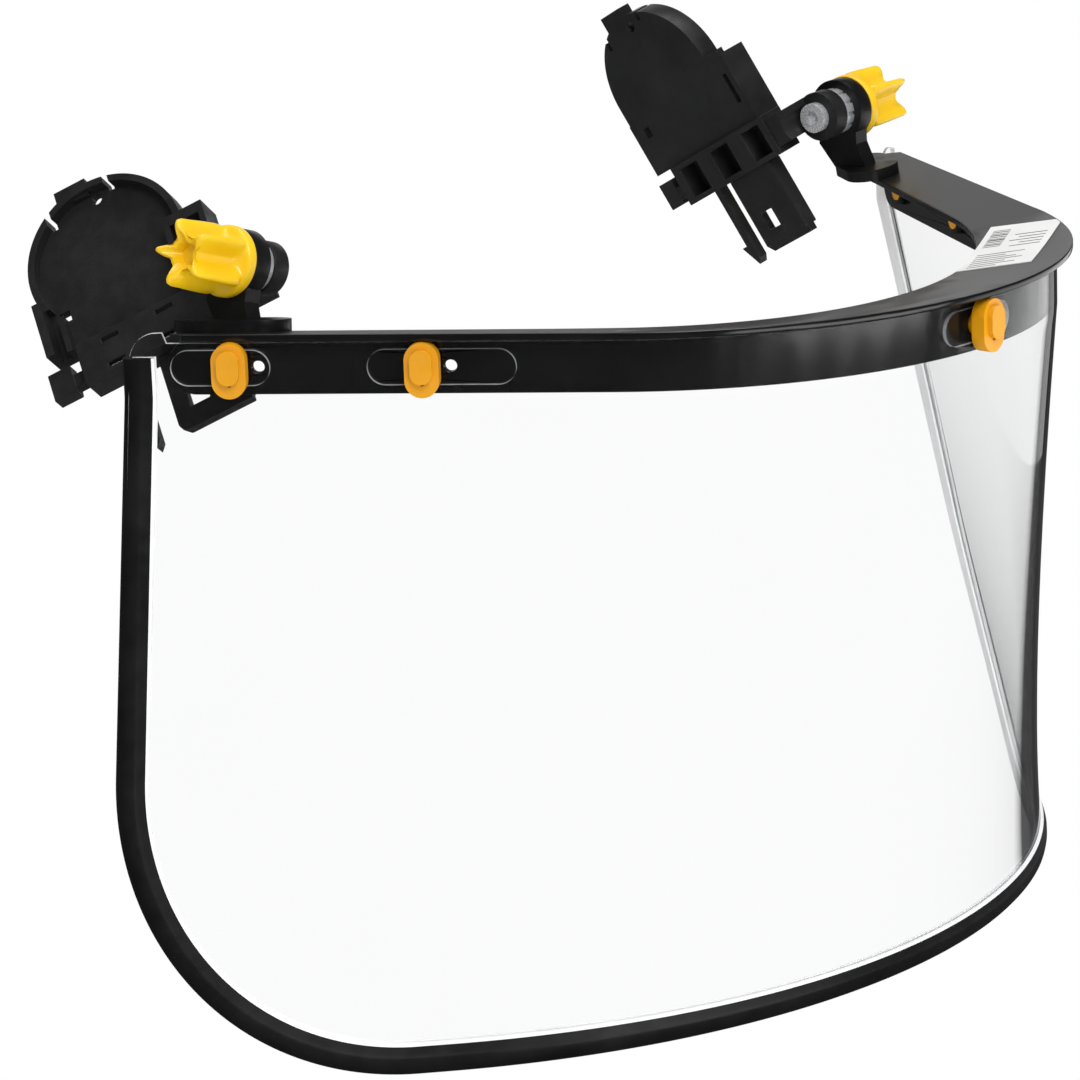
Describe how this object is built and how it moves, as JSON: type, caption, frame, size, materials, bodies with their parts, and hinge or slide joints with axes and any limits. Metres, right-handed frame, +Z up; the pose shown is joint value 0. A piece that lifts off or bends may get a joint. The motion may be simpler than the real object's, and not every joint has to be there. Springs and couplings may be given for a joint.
{
  "type": "face shield",
  "caption": "Helmet-mounted face shield: black brow frame, clear bent sheet with edging, turn buttons, clamped side hinges with wing knobs and slot adapters.",
  "frame": {"origin": "midway between the two side hinges, where the line across the helmet passes", "axes": "+X towards the right-hand side of the front view along the hinge line, -Y towards the front of the sheet, +Z up"},
  "size_m": [0.3504, 0.2148, 0.2257],
  "materials": {
    "brow_frame_plastic": "moulded, satin gloss",
    "clear_sheet": "clear, polished",
    "edging_plastic": "moulded, satin",
    "label_film": "printed film",
    "hinge_post_plastic": "moulded, satin",
    "bolt_steel": "plated",
    "ring_metal": "satin",
    "knob_plastic": "moulded, slight gloss",
    "button_plastic": "moulded, slight gloss",
    "clip_plastic": "moulded",
    "adapter_plastic": "moulded, fine texture"
  },
  "bodies": {
    "frame": {"brow_frame": "brow_frame_plastic", "visor_sheet": "clear_sheet", "visor_edging": "edging_plastic", "data_label": "label_film", "hinge_post_r": "hinge_post_plastic", "hinge_post_l": "hinge_post_plastic", "hinge_bolt_r": "bolt_steel", "hinge_bolt_l": "bolt_steel", "friction_ring_r": "ring_metal", "friction_ring_l": "ring_metal"},
    "button_1": {"turn_button_1": "button_plastic", "button_clip_1": "clip_plastic"},
    "button_2": {"turn_button_2": "button_plastic", "button_clip_2": "clip_plastic"},
    "button_3": {"turn_button_3": "button_plastic", "button_clip_3": "clip_plastic"},
    "button_4": {"turn_button_4": "button_plastic", "button_clip_4": "clip_plastic"},
    "button_5": {"turn_button_5": "button_plastic", "button_clip_5": "clip_plastic"},
    "adapter_r": {"adapter_eye_r": "adapter_plastic", "adapter_plate_r": "adapter_plastic", "slot_bridge_r": "adapter_plastic", "slot_tongue_r": "adapter_plastic", "latch_prong_r": "adapter_plastic"},
    "knob_r": {"wing_knob_r": "knob_plastic"},
    "adapter_l": {"adapter_eye_l": "adapter_plastic", "adapter_plate_l": "adapter_plastic", "slot_bridge_l": "adapter_plastic", "slot_tongue_l": "adapter_plastic", "latch_prong_l": "adapter_plastic"},
    "knob_l": {"wing_knob_l": "knob_plastic"}
  },
  "joints": [
    {"name": "button_1_turn", "type": "hinge", "parent": "frame", "child": "button_1", "pos_m": [-0.13679, -0.01166, -0.0222], "axis": [-0.829, -0.5592, 0], "range_deg": [0, 90]},
    {"name": "button_2_turn", "type": "hinge", "parent": "frame", "child": "button_2", "pos_m": [-0.11051, -0.05062, -0.0222], "axis": [-0.829, -0.5592, 0], "range_deg": [0, 90]},
    {"name": "button_3_turn", "type": "hinge", "parent": "frame", "child": "button_3", "pos_m": [0, -0.1339, -0.0222], "axis": [0, -1, 0], "range_deg": [0, 90]},
    {"name": "button_4_turn", "type": "hinge", "parent": "frame", "child": "button_4", "pos_m": [0.11051, -0.05062, -0.0222], "axis": [0.829, -0.5592, 0], "range_deg": [0, 90]},
    {"name": "button_5_turn", "type": "hinge", "parent": "frame", "child": "button_5", "pos_m": [0.13679, -0.01166, -0.0222], "axis": [0.829, -0.5592, 0], "range_deg": [0, 90]},
    {"name": "adapter_r_swing", "type": "hinge", "parent": "frame", "child": "adapter_r", "pos_m": [0.1176, 0, 0.0016], "axis": [0.9986, 0, 0.0523], "range_deg": [-40, 90]},
    {"name": "knob_r_turn", "type": "hinge", "parent": "frame", "child": "knob_r", "pos_m": [0.1176, 0, 0.0016], "axis": [0.9986, 0, 0.0523], "continuous": true},
    {"name": "adapter_l_swing", "type": "hinge", "parent": "frame", "child": "adapter_l", "pos_m": [-0.1176, 0, -0.0016], "axis": [-0.9563, 0, 0.2924], "range_deg": [-90, 30]},
    {"name": "knob_l_turn", "type": "hinge", "parent": "frame", "child": "knob_l", "pos_m": [-0.1176, 0, -0.0016], "axis": [-0.9563, 0, 0.2924], "continuous": true}
  ]
}
